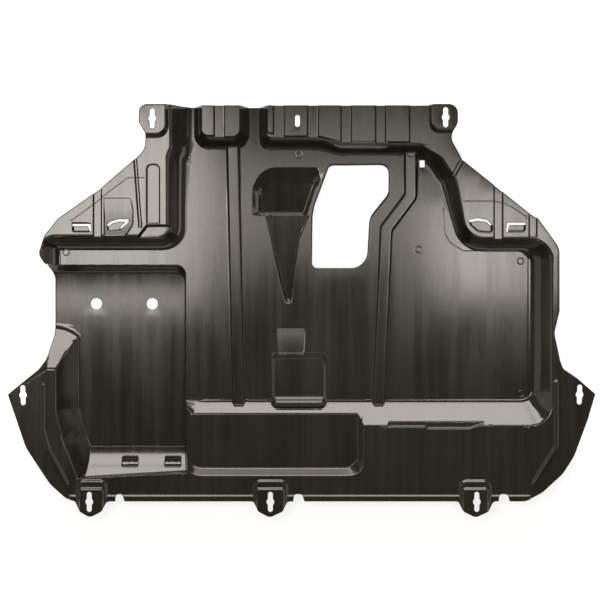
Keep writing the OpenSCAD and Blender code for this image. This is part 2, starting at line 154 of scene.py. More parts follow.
def arc_steps(rings: list[Ring], pitch: float = 3.0) -> list[int]:
    """Choose how finely each corner is rounded, the same for every ring of a fold.

    Args:
        rings: Rings with the same number of corners.
        pitch: Radius in millimetres that is worth one more step.

    Returns:
        Steps for each corner.
    """
    steps = []
    for corners in zip(*rings):
        radius = max(c[2] for c in corners)
        steps.append(0 if radius == 0 else int(min(9, max(3, radius / pitch + 2))))
    return steps


def rounded(ring: Ring, steps: list[int]) -> np.ndarray:
    """Return a ring's points with every corner rounded."""
    n = len(ring)
    points: list[np.ndarray] = []
    for i in range(n):
        points += corner_arc(ring[i - 1], ring[i], ring[(i + 1) % n], steps[i])
    return np.array(points)


def grown(ring: Ring, distance: float) -> Ring:
    """Move an anticlockwise ring outwards by a distance, or inwards by a negative one."""
    out: Ring = []
    n = len(ring)
    for i in range(n):
        along_in = unit(flat(ring[i]) - flat(ring[i - 1]))
        along_out = unit(flat(ring[(i + 1) % n]) - flat(ring[i]))
        n_in = np.array([along_in[1], -along_in[0]])
        n_out = np.array([along_out[1], -along_out[0]])
        p = flat(ring[i]) + (n_in + n_out) * distance / (1 + n_in @ n_out)
        outer = 1 if along_in[0] * along_out[1] - along_in[1] * along_out[0] > 0 else -1
        radius = 0.0 if ring[i][2] == 0 else max(0.6, ring[i][2] + outer * distance)
        out.append((float(p[0]), float(p[1]), radius))
    return out


def band(line: Ring, width: float) -> Ring:
    """Return the ring of a band of constant width along a line of points."""

    def side(distance: float) -> Ring:
        """Return the line moved to its right."""
        moved: Ring = []
        for i, corner in enumerate(line):
            d_in = unit(flat(corner) - flat(line[i - 1])) if i else None
            d_out = unit(flat(line[i + 1]) - flat(corner)) if i < len(line) - 1 else None
            a = d_out if d_in is None else d_in
            b = d_in if d_out is None else d_out
            n_a, n_b = np.array([a[1], -a[0]]), np.array([b[1], -b[0]])
            p = flat(corner) + (n_a + n_b) * distance / (1 + n_a @ n_b)
            moved.append((float(p[0]), float(p[1]), corner[2]))
        return moved

    return side(width / 2) + side(-width / 2)[::-1]


def box_ring(x0: float, x1: float, y0: float, y1: float, r: float) -> Ring:
    """Return a rectangle with equally rounded corners."""
    return [(x0, y1, r), (x0, y0, r), (x1, y0, r), (x1, y1, r)]


def front_box(x0: float, x1: float, y1: float, r: float) -> Ring:
    """Return a rectangle from past the front edge back to y1, rounded at its rear corners."""
    return [(x0, y1, r), (x0, -BEYOND, 0), (x1, -BEYOND, 0), (x1, y1, r)]


def signed_distance(points: np.ndarray, ring: np.ndarray) -> np.ndarray:
    """Measure how far points lie from a ring.

    Args:
        points: Places in plan.
        ring: The ring's points.

    Returns:
        Distances, negative inside the ring.
    """
    a, b = ring, np.roll(ring, -1, axis=0)
    keep = np.hypot(*(b - a).T) > 1e-9
    a, b = a[keep], b[keep]
    ab = b - a
    length2 = (ab * ab).sum(axis=1)
    out = np.empty(len(points))
    for start in range(0, len(points), 8000):
        p = points[start:start + 8000, None, :]
        t = np.clip(((p - a) * ab).sum(axis=2) / length2, 0, 1)
        gap = p - (a + t[..., None] * ab)
        near = np.sqrt((gap * gap).sum(axis=2).min(axis=1))
        above = (a[:, 1] > p[..., 1]) != (b[:, 1] > p[..., 1])
        dy = np.where(np.abs(ab[:, 1]) < 1e-12, 1e-12, ab[:, 1])
        crossing = p[..., 0] < ab[:, 0] * (p[..., 1] - a[:, 1]) / dy + a[:, 0]
        inside = (above & crossing).sum(axis=1) % 2 == 1
        out[start:start + 8000] = np.where(inside, -near, near)
    return out


def blend_min(a: np.ndarray, b: np.ndarray, k: float) -> np.ndarray:
    """Return the lower of two surfaces with their meeting line rounded over a height k."""
    h = np.clip(k - np.abs(a - b), 0, None) / k
    return np.minimum(a, b) - h * h * k / 4


def blend_max(a: np.ndarray, b: np.ndarray, k: float) -> np.ndarray:
    """Return the higher of two surfaces with their meeting line rounded over a height k."""
    return -blend_min(-a, -b, k)


@dataclass
class Fold:
    """One pocket or raised form, as rings at rising levels with rounded foot and shoulder."""

    name: str
    kind: Kind
    rings: list[Ring]
    levels: list[float]
    shoulder: float = 4.0
    back: float = 0.6
    base: Surface | None = None
    foot: float | None = None
    crispness: Surface | None = None
    wall: Callable[[np.ndarray, np.ndarray], np.ndarray] | None = None
    pitch: float = 3.0
    margin: float = 1.5
    cut_off: float = 8.0
    steps: list[int] = field(init=False)

    def __post_init__(self) -> None:
        """Choose the steps of every corner once, so the rings match."""
        self.steps = arc_steps(self.rings, self.pitch)

    def points_at(self, index: int, drop: float) -> np.ndarray:
        """Return one ring's points, set back where the lower face is meant."""
        sign = 1 if self.kind is Kind.POCKET else -1
        ring = self.rings[index]
        return rounded(grown(ring, sign * drop * self.back) if drop else ring, self.steps)

    def mean_width(self) -> float:
        """Return the usual plan width of the fold's first wall."""
        low, high = rounded(self.rings[0], self.steps), rounded(self.rings[1], self.steps)
        widths = np.hypot(*(high - low).T)
        widths = widths[widths > 0.5]
        return float(np.median(widths)) if len(widths) else 1.0

    def slope(self) -> float:
        """Return the rise of the first wall per millimetre of its width."""
        return (self.levels[1] - self.levels[0]) / self.mean_width()

    def reach(self, radius: float) -> float:
        """Return how far a rounded foot or shoulder spreads from its corner line."""
        angle = math.atan(self.slope())
        return min(radius * math.tan(angle / 2), 0.45 * self.mean_width())

    def blend(self, radius: float, points: np.ndarray) -> np.ndarray:
        """Return the height over which a foot or shoulder is rounded at each place."""
        height = np.full(len(points), max(0.05, self.slope() * self.reach(radius)))
        return height if self.crispness is None else height * self.crispness(points)

    def apply(self, height: np.ndarray, points: np.ndarray, drop: float) -> np.ndarray:
        """Press the fold into a surface or raise it out of the surface.

        Args:
            height: Heights of the surface so far.
            points: Their places in plan.
            drop: 0 for the upper face, the thickness for the lower one.

        Returns:
            The new heights.
        """
        outer = -1 if self.kind is Kind.POCKET else 0
        edge = self.points_at(outer, drop)
        low, high = edge.min(axis=0) - 16, edge.max(axis=0) + 16
        near = np.all((points > low) & (points < high), axis=1)
        if not near.any():
            return height
        p, h = points[near], height[near]
        sign = 1 if self.kind is Kind.POCKET else -1
        away = [sign * signed_distance(p, self.points_at(i, drop)) for i in range(len(self.rings))]
        base = np.full(len(p), self.levels[0]) if self.base is None else self.base(p)
        ramp = np.full(len(p), np.nan)
        for i in range(len(self.rings) - 1):
            width = np.maximum(away[i] - away[i + 1], 0.4)
            part = self.levels[i] + away[i] / width * (self.levels[i + 1] - self.levels[i])
            here = np.isnan(ramp) if i == len(self.rings) - 2 else np.isnan(ramp) & (away[i + 1] < 0)
            ramp[here] = part[here]
        if self.wall is not None:
            ramp = self.wall(p, ramp)
        if self.kind is Kind.RAISED:
            ramp = ramp - self.cut_off * np.clip(-away[0] - self.margin, 0, None)
        convex = self.blend(self.shoulder, p)
        concave = self.blend(self.shoulder if self.foot is None else self.foot, p)
        height = height.copy()
        if self.kind is Kind.POCKET:
            height[near] = blend_min(h, blend_max(base - drop, ramp - drop, concave), convex)
        else:
            form = blend_min(np.full(len(p), self.levels[-1] - drop), ramp - drop, convex)
            height[near] = blend_max(h, form, concave)
        return height

    def guide_lines(self) -> list[np.ndarray]:
        """Return closed lines along the fold's foot, wall and shoulder for the plan to follow."""
        lines = []
        widest = max(self.shoulder, self.foot or 0.0)
        spread = min(0.45, self.reach(widest) / max(self.mean_width(), 0.4))
        for i in range(len(self.rings) - 1):
            low, high = rounded(self.rings[i], self.steps), rounded(self.rings[i + 1], self.steps)
            first, last = i == 0, i == len(self.rings) - 2
            far = 1.5 * spread + 1.2 / max(self.mean_width(), 0.4)
            shares = [-far, -spread, -spread / 3, spread / 3, spread] if first else [0.0]
            shares += [1 - spread, 1 - spread / 3, 1 + spread / 3, 1 + spread, 1 + far] if last else []
            for share in shares:
                lines.append(low + share * (high - low))
        return lines


def tab_outline(x: float, half_width: float, lean: float) -> Ring:
    """Return the outline of one front tab."""
    reach = 25.0
    return [
        (x - half_width, -FRONT_EDGE, 6),
        (x - half_width + 8, -FRONT_EDGE - 0.66 * reach, 10),
        (x + lean, -FRONT_EDGE - reach - 2, 12),
        (x + half_width - 8, -FRONT_EDGE - 0.66 * reach, 10),
        (x + half_width, -FRONT_EDGE, 8),
    ]


def notch_outline(x: float, width: float) -> Ring:
    """Return the outline of one notch in the front edge."""
    depth = 12.0
    return [
        (x - width / 2, -FRONT_EDGE, 0),
        (x - width / 2 + 1, -FRONT_EDGE + depth, 5),
        (x + width / 2 - 3, -FRONT_EDGE + depth, 5),
        (x + width / 2 + 1, -FRONT_EDGE, 0),
    ]


def shield_outline() -> Ring:
    """Return the outline of the whole moulding, anticlockwise from the left wing tip."""
    wing, right, left, rear = 500.0, 441.0, -426.0, REAR_EDGE
    return (
        [(-wing, -146, 3), (-469, -237, 70), (-428, -299, 70), (-401, -323, 20)]
        + tab_outline(-358, 27, -1)
        + notch_outline(-309, 15)
        + tab_outline(-52, 29, -1)
        + notch_outline(-4, 18)
        + tab_outline(298, 30, -1)
        + notch_outline(346, 18)
        + [
            (384, -FRONT_EDGE, 30), (412, -313, 30), (447, -281, 60), (466, -251, 60),
            (489, -189, 0), (wing + 2, -145, 3),
            (471, -118, 0), (447, -102, 12), (right + 1, -88, 12), (432, -41, 30), (right, -4, 14),
            (right, 104, 30), (405, 154, 12), (390, 163, 6),
            (276, 254, 16), (254, 294, 40), (267, 316, 20), (267, rear + 2, 18),
            (228, rear + 2, 6), (216, rear, 6), (-179, rear, 20), (-222, rear + 2, 10),
            (-276, rear + 2, 20), (-276, 318, 14), (-265, 299, 8), (-266, 271, 30),
            (-345, 203, 60), (-415, 154, 40), (-438, 125, 30), (-448, 94, 16),
            (left, 56, 24), (left, -44, 40), (-436, -86, 30), (-448, -103, 20),
        ]
    )


def outline_middle() -> np.ndarray:
    """Return the middle of the outline's box, rounded as the part's source rounds it."""
    ring = shield_outline()
    points = rounded(ring, [0 if c[2] == 0 else 5 for c in ring])
    return (points.min(axis=0) + points.max(axis=0)) / 2


@dataclass
class Pans:
    """The main floor and the pans sunk beside and in front of it."""

    slope_start: float = -238.0
    slope_end: float = -284.0
    wheel_wall_width: float = 34.0
    access_length: float = 94.0
    crease_y: float = 184.0
    rear_fall: float = 0.016
    dish_start: float = 5.0
    dish_length: float = 60.0
    dish_rise: float = 1.0
    bend_length: float = 1.0
    bend_slope: float = 0.45
    ramp_gain: float = 0.0105
    edge_slant: float = 0.055
    edge_steepness: float = 7.0
    wheel_round_x: float = -425.0
    wheel_round: float = 95.0

    def pan_base(self, p: np.ndarray) -> np.ndarray:
        """Return the left pan's floor: dished behind, curved up in front to a crisp edge."""
        x, y = p[:, 0], p[:, 1]
        behind = self.dish_rise * np.clip((y - self.dish_start) / self.dish_length, 0, None) ** 3
        bend = np.clip(self.slope_start - y, 0, self.bend_length)
        ramp = np.clip(self.slope_start - self.bend_length - y, 0, None)
        first = self.bend_slope * bend ** 3 / (3 * self.bend_length ** 2)
        ahead = first + self.bend_slope * ramp + self.ramp_gain * ramp ** 2 / 2
        edge = self.slope_end + self.edge_slant * (x + 324)
        return LEVELS.pan + behind + ahead + self.edge_steepness * np.clip(edge - y, 0, None)

    def slope_lines(self) -> list[np.ndarray]:
        """Return the lines that the plan follows across the left pan's dish, front slope and edge."""
        left, right = -440.0, -190.0
        level = [self.dish_start + 10.0 * i for i in range(7)]
        level += [self.slope_start + 1, self.slope_start, self.slope_start - 0.5]
        level += [self.slope_start - 1 - 4.0 * i for i in range(13)]
        lines = [np.array([(left, y), (right, y)]) for y in level]
        lines += [np.array([(-470.0, -30.0 - 5 * i), (-372.0, -30.0 - 5 * i)]) for i in range(28)]
        ridge = [(-383 - self.wheel_wall_width * i / 10, -50 - 5.4 * i) for i in range(11)]
        lines.append(np.array(ridge + ridge[-2:0:-1]))
        for ahead in (-1.0, -0.3, 0.3, 1.2, 2.2, 3.2, 4.4, 6.0):
            ends = [(x, self.slope_end + self.edge_slant * (x + 324) - ahead) for x in (left, right)]
            lines.append(np.array(ends))
        return lines

    def floor_base(self, p: np.ndarray) -> np.ndarray:
        """Return the main floor, which falls a little behind a crease near the rear edge."""
        return LEVELS.floor - self.rear_fall * np.clip(p[:, 1] - self.crease_y, 0, None)

    def floor_crispness(self, p: np.ndarray) -> np.ndarray:
        """Return the share of the usual rounding: little of it is left at the front wall."""
        return 0.22 + 0.78 * np.clip((p[:, 1] + 150) / 40, 0, 1)

    def main_floor(self) -> Fold:
        """Return the main floor between the stepped walls under both ears."""
        left_foot, pan_edge = -422.0, -204.0
        low = [
            (-200, BEYOND, 0), (-200, 266, 14), (-206, 252, 14), (-206, 108, 34),
            (left_foot, 108, 8), (left_foot, 40, 0), (pan_edge, 40, 0), (pan_edge, WALL_FOOT_Y, 0),
            (401, WALL_FOOT_Y, 24), (401, 105, 24),
            (278, 105, 46), (246, 220, 50), (224, 251, 24), (201, 266, 6), (201, BEYOND, 0),
        ]
        high = [
            (-222, BEYOND, 0), (-222, 276, 14), (-228, 262, 14), (-228, 125, 16),
            (left_foot - 22, 125, 24), (left_foot - 20, 40, 0), (pan_edge, 40, 0), (pan_edge, WALL_TOP_Y, 0),
            (429, WALL_TOP_Y, 38), (429, 121, 42),
            (284, 121, 34), (266, 218, 50), (240, 258, 30), (201, 282, 6), (201, BEYOND, 0),
        ]
        return Fold("main_floor", Kind.POCKET, [low, high], [LEVELS.floor, LEVELS.flange], 5.0, 0.5,
                    self.floor_base, 16.0, self.floor_crispness)

    def left_pan(self) -> Fold:
        """Return the deepest pan, with its slanting wall beside the wheel."""

        def ring(share: float, back_y: float) -> Ring:
            """Return the pan's ring at a share of its full height."""
            under = 1 - share
            inward = self.wheel_wall_width * under
            right = -201 + 7 * share
            return [
                (-BEYOND, back_y, 0), (-BEYOND, -223 + 190 * under, 0),
                (-433 + 38 * under, -101 + 68 * under, 6 + 22 * under),
                (-417 + 38 * under, -112 + 60 * under, 6 + 22 * under),
                (-419 + inward, -172, 20), (-408 + inward, -220, 20),
                (-383 + inward, -284, 8), (-362 + inward, -330, 0),
                (right, -330, 0), (right, back_y, 18),
            ]

        share = (LEVELS.floor - LEVELS.pan) / (LEVELS.flange - LEVELS.pan)
        rings = [ring(0, 64), ring(share, 76), ring(1, 78)]
        levels = [LEVELS.pan, LEVELS.floor, LEVELS.flange]
        return Fold("left_pan", Kind.POCKET, rings, levels, 3.0, 0.6, self.pan_base, 6.0, None, self.wheel_wall)

    def wheel_wall(self, p: np.ndarray, ramp: np.ndarray) -> np.ndarray:
        """Return the pan's wall, whose part beside the wheel has two facets that meet in a ridge.

        Args:
            p: Places in plan.
            ramp: The wall as its rings give it.

        Returns:
            The wall's heights.
        """
        x, y = p[:, 0], p[:, 1]
        depth = LEVELS.flange - LEVELS.pan
        corner = np.clip(x - self.wheel_round_x, 0, None) ** 2 / self.wheel_round
        outside = 0.6 * np.clip(-433 - x, 0, None)
        rear_facet = LEVELS.pan + depth * (-33 - corner - outside - y) / 68
        foot = np.interp(-y, (172, 220, 284), (-385, -374, -349))
        side_facet = LEVELS.pan + depth * (foot - x) / self.wheel_wall_width
        facets = blend_min(rear_facet, side_facet, np.full(len(p), 2.5))
        return np.where((x < -330) & (y > -300) & (y < -20), facets, ramp)

    def access_pan(self) -> Fold:
        """Return the pan in the front flange, open to the main floor."""
        front = WALL_ACCESS_Y - self.access_length
        low = [(-198, -140, 0), (-198, front, 30), (97, front, 22), (97, -140, 0)]
        high = [(-203, -140, 0), (-203, front - 11, 34), (107, front - 11, 26), (107, -140, 0)]
        return Fold("access_pan", Kind.POCKET, [low, high], [LEVELS.access, LEVELS.flange], 2.5, 0.4)

    def clip_recess(self) -> Fold:
        """Return the shallow recess along the top of the front wall."""
        low = [
            (150, WALL_TOP_Y + 12, 0), (150, WALL_TOP_Y - 1, 0), (213, WALL_TOP_Y - 1, 0),
            (217, WALL_TOP_Y - 4, 0), (286, WALL_TOP_Y - 4, 0), (312, WALL_TOP_Y + 4, 0), (312, WALL_TOP_Y + 12, 0),
        ]
        return Fold("clip_recess", Kind.POCKET, [low, grown(low, 2.5)], [LEVELS.flange - 5, LEVELS.flange], 1.5)

    def hem(self) -> Fold:
        """Return the raised lip along the front edge."""
        low = box_ring(-396, 392, -BEYOND, -317, 0)
        high = box_ring(-394, 390, -BEYOND, -319, 0)
        return Fold("hem", Kind.RAISED, [low, high], [LEVELS.flange, LEVELS.hem], 1.6)

    def ear_step(self) -> Fold:
        """Return the step at the foot of the left ear."""
        low = [(-262, 141, 0), (-277, 122, 0), (-277, 90, 0), (-215, 90, 0), (-215, 141, 0)]
        return Fold("ear_step", Kind.POCKET, [low, grown(low, 2.5)], [LEVELS.flange - 8, LEVELS.flange], 2.5)

    def folds(self) -> list[Fold]:
        """Return the pans in the order in which they are pressed."""
        return [self.main_floor(), self.left_pan(), self.access_pan(), self.clip_recess(), self.ear_step()]


@dataclass
class RearStrip:
    """The blocks and pads along the rear edge."""

    pads: tuple[tuple[float, ...], ...] = (
        (-170, -147, 294, 294, 14, 0), (-131, -103, 292, 292, 0, 14), (-58, -46, 298, 298, 8, 0),
        (-29, 12, 293, 293, 0, 0), (29, 69, 293, 283, 0, 0), (85, 128, 283, 283, 0, 0),
        (143, 186, 283, 283, 0, 0),
    )

    def blocks(self) -> list[Fold]:
        """Return the two blocks that carry the pads."""
        first_low = [(-182, BEYOND, 0), (-182, 277, 24), (-91, 277, 24), (-91, BEYOND, 0)]
        first_high = [(-171, BEYOND, 0), (-171, 290, 18), (-101, 290, 18), (-101, BEYOND, 0)]
        second_low = [
            (-70, BEYOND, 0), (-70, 276, 16), (30, 276, 10), (66, 267, 10), (215, 267, 0), (215, BEYOND, 0),
        ]
        second_high = [
            (-60, BEYOND, 0), (-60, 289, 12), (32, 289, 10), (66, 280, 10), (215, 280, 0), (215, BEYOND, 0),
        ]
        levels = [LEVELS.floor, LEVELS.flange]
        return [
            Fold("strip_block_left", Kind.RAISED, [first_low, first_high], levels, 6.0, 0.65),
            Fold("strip_block_right", Kind.RAISED, [second_low, second_high], levels, 6.0, 0.65),
        ]

    def folds(self) -> list[Fold]:
        """Return the blocks and the pads on them."""
        folds = self.blocks()
        for i, (x0, x1, y0, y1, r0, r1) in enumerate(self.pads):
            low = [(x0, BEYOND, 0), (x0, y0, r0), (x1, y1, r1), (x1, BEYOND, 0)]
            high = [(x0 + 1.5, BEYOND, 0), (x0 + 1.5, y0 + 2, r0), (x1 - 1.5, y1 + 2, r1), (x1 - 1.5, BEYOND, 0)]
            levels = [LEVELS.flange, LEVELS.strip_pad]
            folds.append(Fold(f"strip_pad_{i}", Kind.RAISED, [low, high], levels, 1.6, 0.8))
        return folds


@dataclass
class FixingPads:
    """The five raised pads that the fixing screws sit on."""

    tabs: tuple[tuple[float, float], ...] = ((-357, 27), (-52, 30), (297, 28))

    def folds(self) -> list[Fold]:
        """Return the two rear pads and the three front ones."""
        levels = [LEVELS.flange, LEVELS.fixing_pad]
        left_low = [(-BEYOND, BEYOND, 0), (-BEYOND, 292, 0), (-226, 292, 20), (-226, BEYOND, 0)]
        left_high = [(-BEYOND, BEYOND, 0), (-BEYOND, 299, 0), (-231, 299, 16), (-231, BEYOND, 0)]
        right_low = [(218, BEYOND, 0), (218, 299, 20), (BEYOND, 299, 0), (BEYOND, BEYOND, 0)]
        right_high = [(222, BEYOND, 0), (222, 306, 16), (BEYOND, 306, 0), (BEYOND, BEYOND, 0)]
        folds = [
            Fold("rear_pad_left", Kind.RAISED, [left_low, left_high], levels, 2.5, 0.5),
            Fold("rear_pad_right", Kind.RAISED, [right_low, right_high], levels, 2.5, 0.5),
        ]
        for i, (x, half) in enumerate(self.tabs):
            step = front_box(x - half, x + half, -291, 14)
            folds.append(Fold(f"tab_step_{i}", Kind.RAISED, [step, grown(step, -3)],
                              [LEVELS.flange, LEVELS.tab_step], 1.8, 0.5))
            pad = front_box(x - half + 5, x + half - 5, -304, 6)
            folds.append(Fold(f"tab_pad_{i}", Kind.RAISED, [pad, grown(pad, -3)],
                              [LEVELS.tab_step, LEVELS.fixing_pad], 1.8, 0.5))
        return folds


@dataclass
class FloorForms:
    """What stands on or sinks into the main floor: two ribs, a low box, the duct and its funnel."""

    rib_width: float = 17.0
    rib_rise: float = 6.0
    box_rise: float = 3.5
    bar_rise: float = 14.0
    duct_drop: float = 16.0
    duct_ledge_drop: float = 7.0
    duct_fall: float = 5 / 40
    funnel_drop: float = 9.0
    funnel_shallow: float = 2.5
    facet_drop: float = 2.0

    def facet_base(self, p: np.ndarray) -> np.ndarray:
        """Return the slanting floor of the facet behind the box, level with the floor at the box."""
        return LEVELS.floor - self.facet_drop * np.clip((p[:, 1] + 76) / 43, 0, 1)

    def raised(self) -> list[Fold]:
        """Return the ribs, the box and the bar."""
        side = 2.5
        left = [(-118, 310, 0), (-107, -171, 8)]
        right = [(189, 310, 0), (189, 194, 14), (147, 138, 14), (144, 67, 20), (133, -171, 8)]
        top = LEVELS.floor + self.rib_rise
        folds = [
            Fold(name, Kind.RAISED, [band(line, self.rib_width + 2 * side), band(line, self.rib_width)],
                 [LEVELS.floor, top], 2.0, 0.66)
            for name, line in (("rib_left", left), ("rib_right", right))
        ]
        low = [(-50, -75, 8), (-50, -176, 8), (44, -176, 8), (44, -75, 8)]
        high = [(-45, -85, 6), (-45, -170, 6), (39, -170, 6), (39, -85, 6)]
        folds.append(Fold("floor_box", Kind.RAISED, [low, high], [LEVELS.floor, LEVELS.floor + self.box_rise], 2.0))
        bar = box_ring(-51, 44, -174, -152, 9)
        folds.append(Fold("bar", Kind.RAISED, [bar, grown(bar, -7)], [LEVELS.floor, LEVELS.floor + self.bar_rise], 9.0))
        return folds

    def deep_base(self, p: np.ndarray) -> np.ndarray:
        """Return the floor of the duct's deep end, which falls towards its sill."""
        return LEVELS.floor - self.duct_drop + (p[:, 1] - 169) * self.duct_fall

    def funnel_base(self, p: np.ndarray) -> np.ndarray:
        """Return the funnel's floor, which falls from the duct's sill to the tip."""
        tilt = (self.funnel_drop - self.funnel_shallow) / 150
        return LEVELS.floor - self.funnel_drop + (p[:, 1] - 10) * tilt

    def sunk(self) -> list[Fold]:
        """Return the facet, the duct and the funnel in front of its sill."""
        lip = [(-84, 158, 8), (-62, 160, 0), (9, 160, 0), (12, 166, 4), (37, 246, 9), (-84, 246, 58)]
        ledge = [(-75, 163, 5), (-62, 165, 0), (3, 165, 0), (6, 170, 4), (26, 227, 6), (-75, 227, 46)]
        deep = [(-66, 168, 4), (-60, 169, 0), (-2, 169, 0), (1, 173, 3), (15, 209, 5), (-66, 209, 36)]
        top = [
            (-61, 160, 0), (-49, 106, 0), (-37, 50, 0), (-26, 10, 3),
            (-17, 10, 3), (-12, 58, 0), (-2, 120, 0), (14, 160, 0),
        ]
        foot = [
            (-57, 160, 0), (-44.5, 106, 0), (-33, 50, 0), (-24, 17, 1),
            (-19, 17, 1), (-15.5, 58, 0), (-6, 120, 0), (9.5, 160, 0),
        ]
        facet = [(-38, -77, 0), (-42, -33, 3), (7, -33, 3), (4, -77, 0)]
        step = LEVELS.floor - self.duct_ledge_drop
        return [
            Fold("facet", Kind.POCKET, [facet, grown(facet, 1.5)], [LEVELS.floor - self.facet_drop, LEVELS.floor], 1.0,
                 0.5, self.facet_base),
            Fold("duct_lip", Kind.POCKET, [ledge, lip], [step, LEVELS.floor], 2.5),
            Fold("duct_deep", Kind.POCKET, [deep, grown(ledge, -1.5)], [LEVELS.floor - self.duct_drop, step], 5.0,
                 0.6, self.deep_base),
            Fold("funnel", Kind.POCKET, [foot, top], [LEVELS.floor - self.funnel_drop, LEVELS.floor], 1.2, 0.5,
                 self.funnel_base),
        ]


@dataclass
class EarForms:
    """Grooves, louvres and beads of the ears and wings, and the drains of the left pan."""

    groove_drop: float = 4.0
    tongue_drop: float = 6.0
    bead_rise: float = 3.0
    bead_width: float = 4.0
    drain_drop: float = 9.0
    patch_drop: float = 2.5
    patch_rear: float = 187.0
    grooves: tuple[tuple[Ring, float], ...] = (
        ([(-347, 230, 0), (-347, 112, 0)], 12),
        ([(-283, 262, 0), (-274, 140, 0)], 3),
        ([(-252, 246, 8), (-252, 147, 0)], 20),
        ([(277, 258, 0), (261, 229, 0)], 4),
        ([(337, 230, 0), (337, 108, 0)], 13),
        ([(396, 190, 0), (396, 124, 0)], 11),
    )
    # The floor of each louvre's tongue, then the cut that parts it from the ear.
    louvres: tuple[tuple[Ring, Ring], ...] = (
        (
            [(-388, 144, 0), (-388, 133, 2), (-361, 133, 2), (-361, 144, 0)],
            [(-390, 145, 0), (-390, 141.5, 0), (-364, 141.5, 2), (-361, 134, 0), (-358, 131, 0), (-358, 145, 3)],
        ),
        (
            [(353, 144, 0), (353, 134, 2), (381, 134, 4), (381, 144, 0)],
            [(351, 147, 3), (350, 131, 0), (353, 131, 0), (356, 143.5, 2), (383, 143.5, 0), (383, 147, 0)],
        ),
        (
            [(-330, 142, 4), (-311, 150, 8), (-296, 149, 0), (-309, 136, 6), (-328, 133, 4)][::-1],
            [
                (-331, 144, 0), (-329, 141, 0), (-322, 146, 0), (-310, 149.5, 10), (-300, 148.5, 0),
                (-310, 139, 0), (-307, 137, 0), (-294, 148, 0), (-294, 153, 0), (-310, 153.5, 14), (-325, 149, 8),
            ],
        ),
        (
            [(287, 147, 4), (300, 152, 12), (316, 150, 10), (325, 141, 3), (325, 132, 4), (303, 134, 8)][::-1],
            [
                (284, 151, 0), (289, 148, 0), (300, 150.5, 12), (316, 149, 8), (323, 143, 0), (326, 143.5, 0),
                (318, 152, 10), (300, 155, 14),
            ],
        ),
    )

    def beads(self) -> list[Fold]:
        """Return the raised bead along each wing."""
        left = [(-440, -128, 2), (-440, -206, 20), (-431, -238, 10), (-397, -302, 3)]
        right = [(435, -124, 2), (435, -236, 14), (395, -301, 3)]
        levels = [LEVELS.flange, LEVELS.flange + self.bead_rise]
        return [
            Fold(name, Kind.RAISED, [band(line, self.bead_width + 4), band(line, self.bead_width)], levels, 2.0)
            for name, line in (("bead_left", left), ("bead_right", right))
        ]

    def patch_base(self, p: np.ndarray) -> np.ndarray:
        """Return the floor of the patch behind the left inner louvre, which falls towards it."""
        return LEVELS.flange - self.patch_drop * np.clip((self.patch_rear - p[:, 1]) / 60, 0, 1)

    def drain_base(self, p: np.ndarray) -> np.ndarray:
        """Return the floor of a drain, with a small slanting step towards the front."""
        floor = (LEVELS.pan + LEVELS.flange) / 2 - self.drain_drop
        return floor + np.clip(-264 - p[:, 1], 0, 3.5)

    def sunk(self) -> list[Fold]:
        """Return the patch, grooves, louvre tongues and drains."""
        patch = [(-334, 126, 0), (-299, 127, 6), (-288, 144, 14), (-288, 168, 14), (-292, 187, 3), (-334, 187, 0)]
        folds = [Fold("patch", Kind.POCKET, [patch, grown(patch, 2)],
                      [LEVELS.flange - self.patch_drop, LEVELS.flange], 2.0, 0.6, self.patch_base)]
        for i, (line, width) in enumerate(self.grooves):
            low = band(line, width)
            levels = [LEVELS.flange - self.groove_drop, LEVELS.flange]
            folds.append(Fold(f"groove_{i}", Kind.POCKET, [low, grown(low, 1.5)], levels, 1.4))
        for i, (low, _cut) in enumerate(self.louvres):
            levels = [LEVELS.flange - self.tongue_drop, LEVELS.flange]
            folds.append(Fold(f"tongue_{i}", Kind.POCKET, [low, grown(low, 2)], levels, 1.5, 0.5))
        floor = (LEVELS.pan + LEVELS.flange) / 2 - self.drain_drop
        for i, x in enumerate((-295, -221)):
            low = box_ring(x - 14, x + 14, -272, -254, 3)
            folds.append(Fold(f"drain_{i}", Kind.POCKET, [low, grown(low, 2)], [floor, LEVELS.flange], 1.5, 0.6,
                              self.drain_base))
        return folds

    def gaps(self) -> list[Ring]:
        """Return the cut beside each louvre's tongue."""
        return [cut for _tongue, cut in self.louvres]


